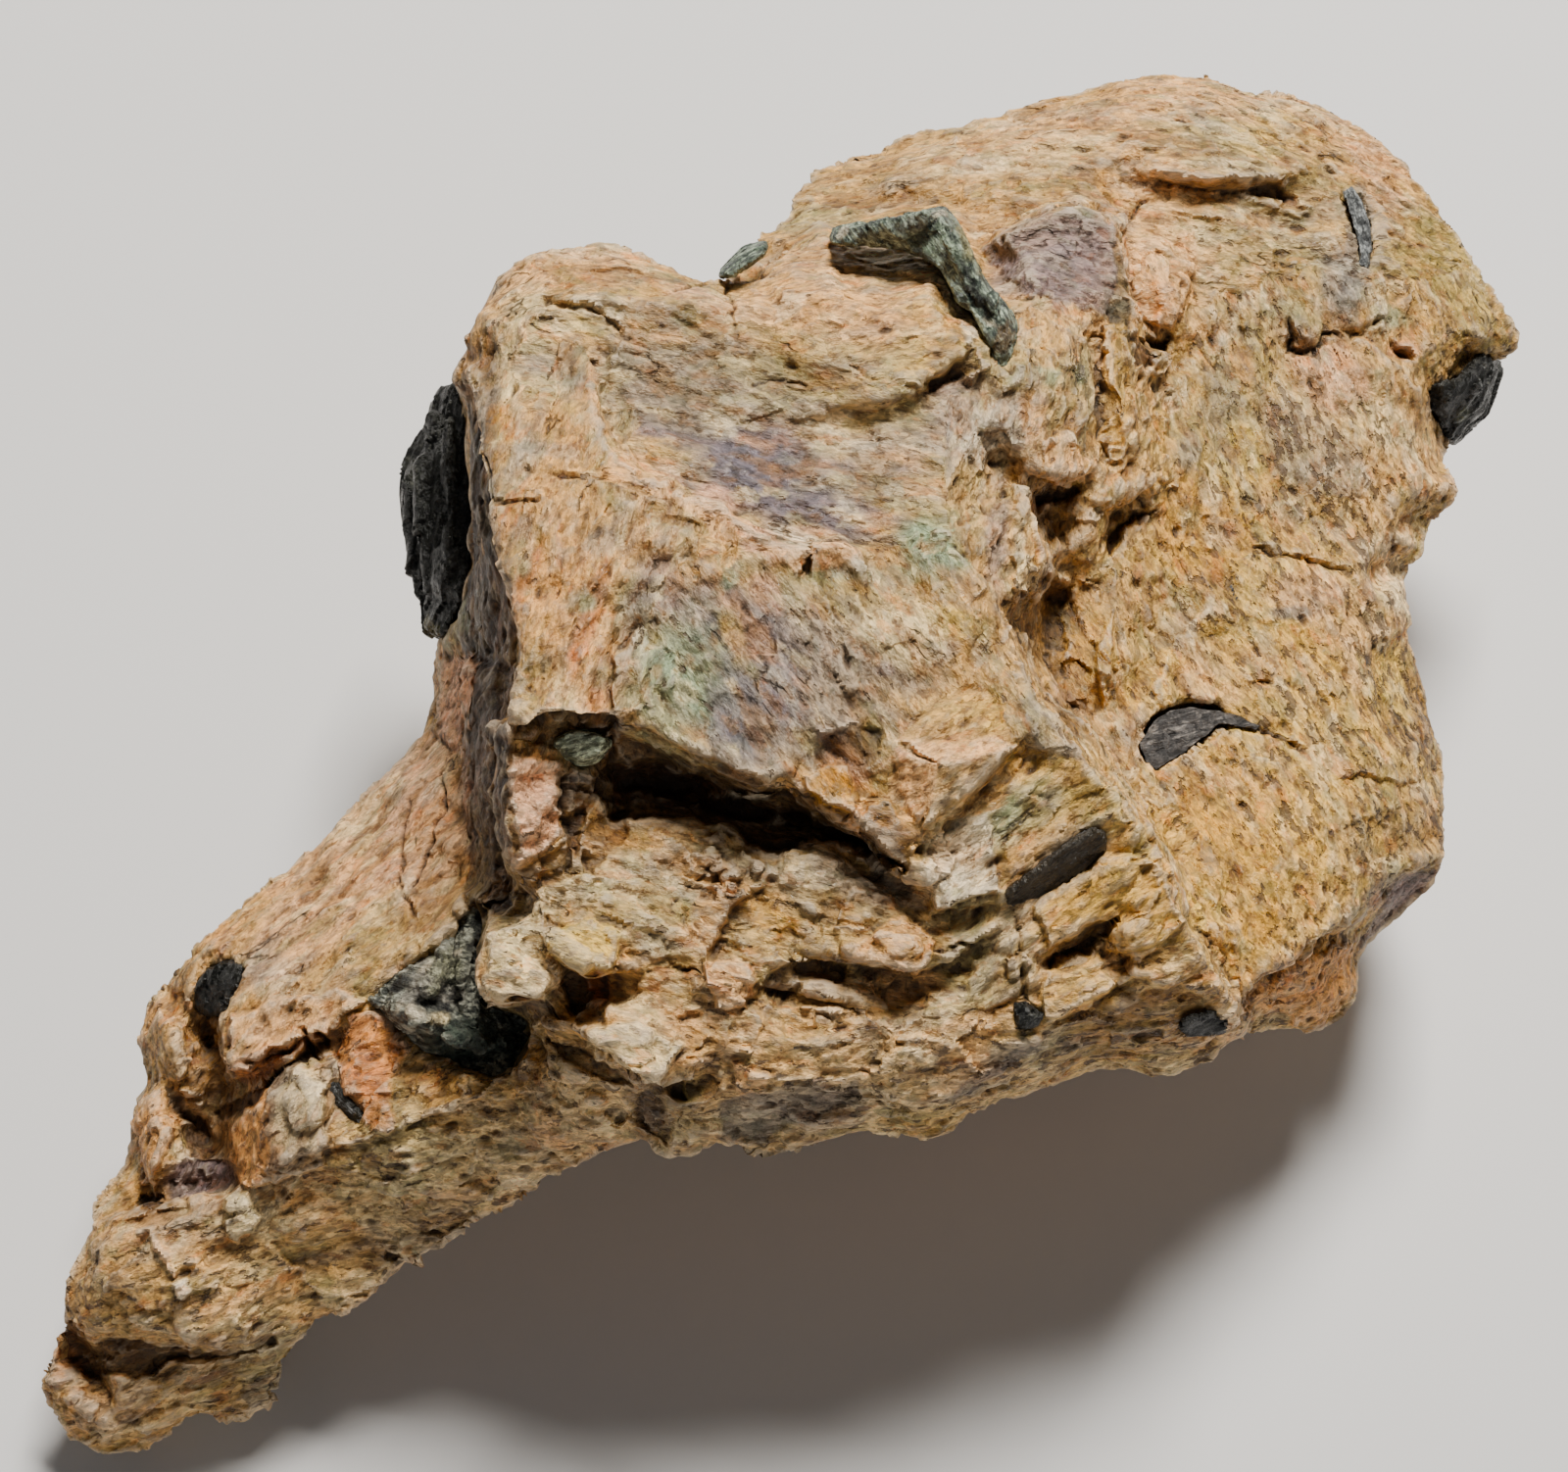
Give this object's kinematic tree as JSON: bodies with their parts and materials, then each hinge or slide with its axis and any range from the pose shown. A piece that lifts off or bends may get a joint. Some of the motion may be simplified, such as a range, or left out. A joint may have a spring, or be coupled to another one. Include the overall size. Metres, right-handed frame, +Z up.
{
  "type": "aegirine crystal specimen on feldspar matrix",
  "caption": "Rough hand specimen: dark green aegirine masses and prisms grown in a stepped pink and tan feldspar rock with a long tapering tail.",
  "frame": {"origin": "a point of the flat face on the underside that the rock rests on", "axes": "+Z up from the surface that the rock lies on, +X to the right of a viewer in front of the rock, +Y away from that viewer"},
  "size_m": [0.1928, 0.1753, 0.0927],
  "materials": {
    "feldspar": "rough, broken cleavage faces",
    "aegirine": "glassy on cleavage faces, granular between them"
  },
  "bodies": {
    "root": {"feldspar_matrix": "feldspar", "aegirine_left_mass": "aegirine", "aegirine_pocket_mass": "aegirine", "aegirine_ridge_vein": "aegirine", "aegirine_ridge_tip": "aegirine", "aegirine_step_prism": "aegirine", "aegirine_rim_mass": "aegirine", "aegirine_tail_patch": "aegirine", "aegirine_blade": "aegirine", "aegirine_dish_lens": "aegirine", "aegirine_needle": "aegirine", "aegirine_flank_bead": "aegirine", "aegirine_terrace_bead": "aegirine", "aegirine_tail_slit": "aegirine", "aegirine_ledge_shard": "aegirine"}
  },
  "joints": []
}
